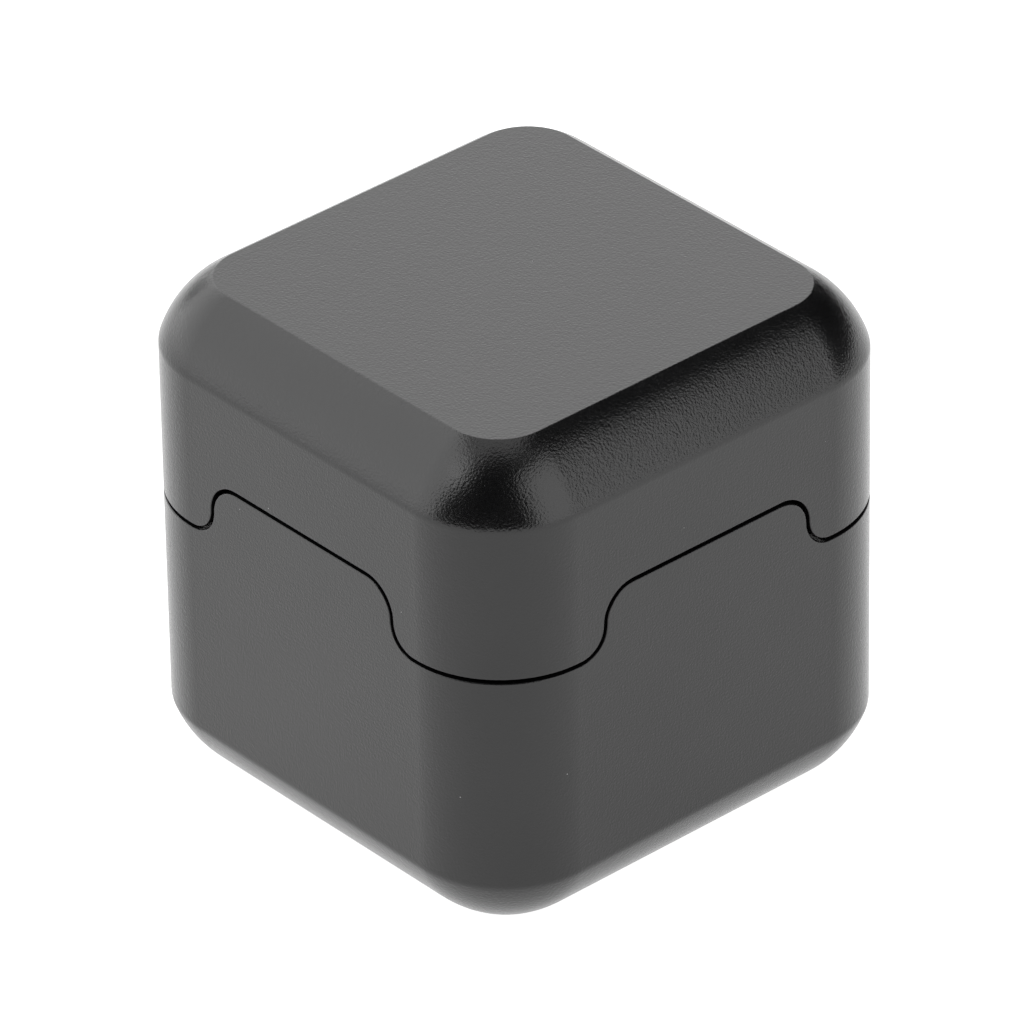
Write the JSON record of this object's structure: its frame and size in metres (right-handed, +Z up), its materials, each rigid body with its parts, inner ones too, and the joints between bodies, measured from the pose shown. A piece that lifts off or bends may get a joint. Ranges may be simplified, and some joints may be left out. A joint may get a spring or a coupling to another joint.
{
  "type": "fidget cube",
  "caption": "Black anodised aluminium desk fidget: a rounded cube in two interlocking halves that lift apart against a spring.",
  "frame": {"origin": "centre of the underside, on the surface that the cube stands on", "axes": "+Z up along the lift and turning axis; X and Y square to the sides"},
  "size_m": [0.025, 0.025, 0.0246],
  "materials": {
    "anodised_black": "fine bead-blasted, black anodised, satin",
    "shaft_steel": "turned stainless steel",
    "spring_steel": "bright spring wire and spring strip",
    "bearing_steel": "ground and polished bearing steel",
    "cage_steel": "pressed steel sheet",
    "bush_brass": "turned brass",
    "washer_plastic": "natural acetal, matt",
    "magnet_nickel": "nickel plated"
  },
  "bodies": {
    "base": {"lower_shell": "anodised_black", "base_cover": "anodised_black", "bearing_outer_ring": "bearing_steel", "bearing_shield_top": "cage_steel", "bearing_shield_bottom": "cage_steel", "bearing_circlip": "spring_steel", "lower_magnet_1": "magnet_nickel", "lower_magnet_2": "magnet_nickel", "lower_magnet_3": "magnet_nickel", "lower_magnet_4": "magnet_nickel"},
    "upper_half": {"upper_shell": "anodised_black", "centre_shaft": "shaft_steel", "landing_washer": "washer_plastic", "spring_washer": "shaft_steel", "retaining_clip": "spring_steel", "return_spring": "spring_steel", "upper_magnet_1": "magnet_nickel", "upper_magnet_2": "magnet_nickel", "upper_magnet_3": "magnet_nickel", "upper_magnet_4": "magnet_nickel"},
    "rotor": {"bearing_inner_ring": "bearing_steel", "slide_bush": "bush_brass"},
    "ball_set": {"bearing_cage": "cage_steel", "bearing_balls": "bearing_steel"}
  },
  "joints": [
    {"name": "lift", "type": "slide", "parent": "base", "child": "upper_half", "axis": [0, 0, 1], "range_m": [0, 0.004], "stiffness_N_per_m": 900, "springref_m": -0.002, "deforming": ["return_spring"]},
    {"name": "bearing_spin", "type": "hinge", "parent": "base", "child": "rotor", "pos_m": [0, 0, 0.0132], "axis": [0, 0, 1], "continuous": true},
    {"name": "cage_orbit", "type": "hinge", "parent": "base", "child": "ball_set", "pos_m": [0, 0, 0.0132], "axis": [0, 0, 1], "continuous": true}
  ],
  "couplings": [
    {"joint": "cage_orbit", "follows": "bearing_spin", "ratio": 0.4}
  ]
}
